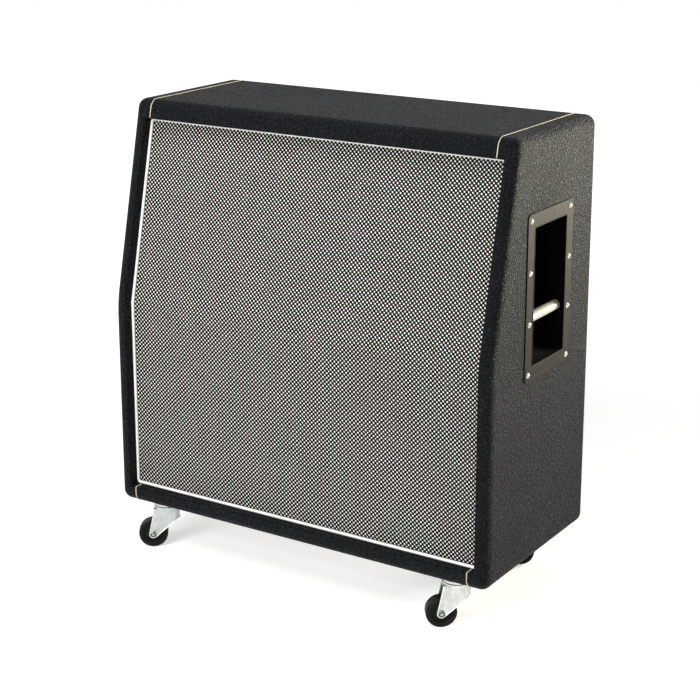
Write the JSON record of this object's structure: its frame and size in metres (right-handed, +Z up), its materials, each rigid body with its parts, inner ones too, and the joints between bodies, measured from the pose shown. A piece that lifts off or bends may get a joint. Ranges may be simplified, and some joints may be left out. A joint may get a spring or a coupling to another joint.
{
  "type": "guitar speaker cabinet",
  "caption": "Slant-front guitar speaker cabinet in black grained vinyl with woven grille cloth, white piping, recessed side handles and swivel casters.",
  "frame": {"origin": "on the floor under the middle of the cabinet", "axes": "+Z up, +Y to the rear panel, so the grille faces -Y, +X to the right as seen from the front"},
  "size_m": [0.7784, 0.3716, 0.8308],
  "materials": {
    "plywood": "birch ply",
    "vinyl": "grained cloth-backed vinyl",
    "grille_cloth": "black and off-white basket weave",
    "white_piping": "smooth",
    "seam_cord": "twisted gold cord",
    "handle_dish": "satin dark paint",
    "cream_grip": "smooth",
    "steel": "plain",
    "nickel_screws": "nickel plate",
    "black_screws": "black oxide",
    "jack_plate": "satin black",
    "jack_socket": "nickel plate",
    "lead_insulation": "insulated wire",
    "gasket_board": "pressed cork board",
    "doped_cloth": "doped cloth",
    "basket_steel": "grey stove paint",
    "magnet": "ferrite and plated steel",
    "paper_cone": "ribbed pulp",
    "zinc": "bright zinc plate",
    "zinc_rivet": "zinc plate",
    "bearing_steel": "polished",
    "wheel_rubber": "hard moulded"
  },
  "bodies": {
    "cabinet": {"side_panel_left": "plywood", "side_panel_right": "plywood", "top_panel": "plywood", "bottom_panel": "plywood", "front_rails": "plywood", "rear_panel": "plywood", "baffle_upper": "plywood", "baffle_lower": "plywood", "baffle_battens": "plywood", "rear_battens": "plywood", "centre_post": "plywood", "vinyl_left": "vinyl", "vinyl_right": "vinyl", "vinyl_top": "vinyl", "vinyl_bottom": "vinyl", "vinyl_rear": "vinyl", "grille_cloth": "grille_cloth", "grille_piping": "white_piping", "seam_cords": "seam_cord", "handle_dish_left": "handle_dish", "handle_dish_right": "handle_dish", "handle_grip_left": "cream_grip", "handle_grip_right": "cream_grip", "handle_bars": "steel", "handle_screws": "nickel_screws", "rear_screws": "black_screws", "jack_plate": "jack_plate", "jack_sockets": "jack_socket", "speaker_leads": "lead_insulation", "speaker_bolts": "steel", "speaker_gaskets": "gasket_board", "speaker_surrounds": "doped_cloth", "speaker_spiders": "doped_cloth", "caster_sockets": "zinc", "caster_stems": "zinc", "caster_balls": "bearing_steel", "speaker_lower_left_basket": "basket_steel", "speaker_lower_left_magnet": "magnet", "speaker_lower_right_basket": "basket_steel", "speaker_lower_right_magnet": "magnet", "speaker_upper_left_basket": "basket_steel", "speaker_upper_left_magnet": "magnet", "speaker_upper_right_basket": "basket_steel", "speaker_upper_right_magnet": "magnet"},
    "caster_front_left_swivel": {"caster_front_left_fork": "zinc", "caster_front_left_axle": "zinc_rivet"},
    "caster_front_left_wheel": {"caster_front_left_wheel": "wheel_rubber"},
    "caster_front_right_swivel": {"caster_front_right_fork": "zinc", "caster_front_right_axle": "zinc_rivet"},
    "caster_front_right_wheel": {"caster_front_right_wheel": "wheel_rubber"},
    "caster_rear_left_swivel": {"caster_rear_left_fork": "zinc", "caster_rear_left_axle": "zinc_rivet"},
    "caster_rear_left_wheel": {"caster_rear_left_wheel": "wheel_rubber"},
    "caster_rear_right_swivel": {"caster_rear_right_fork": "zinc", "caster_rear_right_axle": "zinc_rivet"},
    "caster_rear_right_wheel": {"caster_rear_right_wheel": "wheel_rubber"},
    "speaker_lower_left_moving": {"speaker_lower_left_cone": "paper_cone"},
    "speaker_lower_right_moving": {"speaker_lower_right_cone": "paper_cone"},
    "speaker_upper_left_moving": {"speaker_upper_left_cone": "paper_cone"},
    "speaker_upper_right_moving": {"speaker_upper_right_cone": "paper_cone"}
  },
  "joints": [
    {"name": "front_left_swivel", "type": "hinge", "parent": "cabinet", "child": "caster_front_left_swivel", "pos_m": [-0.308, -0.145, 0.084], "axis": [0, 0, 1], "continuous": true},
    {"name": "front_left_roll", "type": "hinge", "parent": "caster_front_left_swivel", "child": "caster_front_left_wheel", "pos_m": [-0.32903, -0.16028, 0.027], "axis": [0.5878, -0.809, 0], "continuous": true},
    {"name": "front_right_swivel", "type": "hinge", "parent": "cabinet", "child": "caster_front_right_swivel", "pos_m": [0.308, -0.145, 0.084], "axis": [0, 0, 1], "continuous": true},
    {"name": "front_right_roll", "type": "hinge", "parent": "caster_front_right_swivel", "child": "caster_front_right_wheel", "pos_m": [0.28697, -0.16028, 0.027], "axis": [0.5878, -0.809, 0], "continuous": true},
    {"name": "rear_left_swivel", "type": "hinge", "parent": "cabinet", "child": "caster_rear_left_swivel", "pos_m": [-0.308, 0.145, 0.084], "axis": [0, 0, 1], "continuous": true},
    {"name": "rear_left_roll", "type": "hinge", "parent": "caster_rear_left_swivel", "child": "caster_rear_left_wheel", "pos_m": [-0.33375, 0.14862, 0.027], "axis": [-0.1392, -0.9903, 0], "continuous": true},
    {"name": "rear_right_swivel", "type": "hinge", "parent": "cabinet", "child": "caster_rear_right_swivel", "pos_m": [0.308, 0.145, 0.084], "axis": [0, 0, 1], "continuous": true},
    {"name": "rear_right_roll", "type": "hinge", "parent": "caster_rear_right_swivel", "child": "caster_rear_right_wheel", "pos_m": [0.28357, 0.13611, 0.027], "axis": [0.342, -0.9397, 0], "continuous": true},
    {"name": "lower_left_cone_travel", "type": "slide", "parent": "cabinet", "child": "speaker_lower_left_moving", "axis": [0, -1, 0], "range_m": [-0.003, 0.003], "stiffness_N_per_m": 4000, "deforming": ["speaker_surrounds", "speaker_spiders"]},
    {"name": "lower_right_cone_travel", "type": "slide", "parent": "cabinet", "child": "speaker_lower_right_moving", "axis": [0, -1, 0], "range_m": [-0.003, 0.003], "stiffness_N_per_m": 4000, "deforming": ["speaker_surrounds", "speaker_spiders"]},
    {"name": "upper_left_cone_travel", "type": "slide", "parent": "cabinet", "child": "speaker_upper_left_moving", "axis": [0, -0.9762, 0.2169], "range_m": [-0.003, 0.003], "stiffness_N_per_m": 4000, "deforming": ["speaker_surrounds", "speaker_spiders"]},
    {"name": "upper_right_cone_travel", "type": "slide", "parent": "cabinet", "child": "speaker_upper_right_moving", "axis": [0, -0.9762, 0.2169], "range_m": [-0.003, 0.003], "stiffness_N_per_m": 4000, "deforming": ["speaker_surrounds", "speaker_spiders"]}
  ]
}
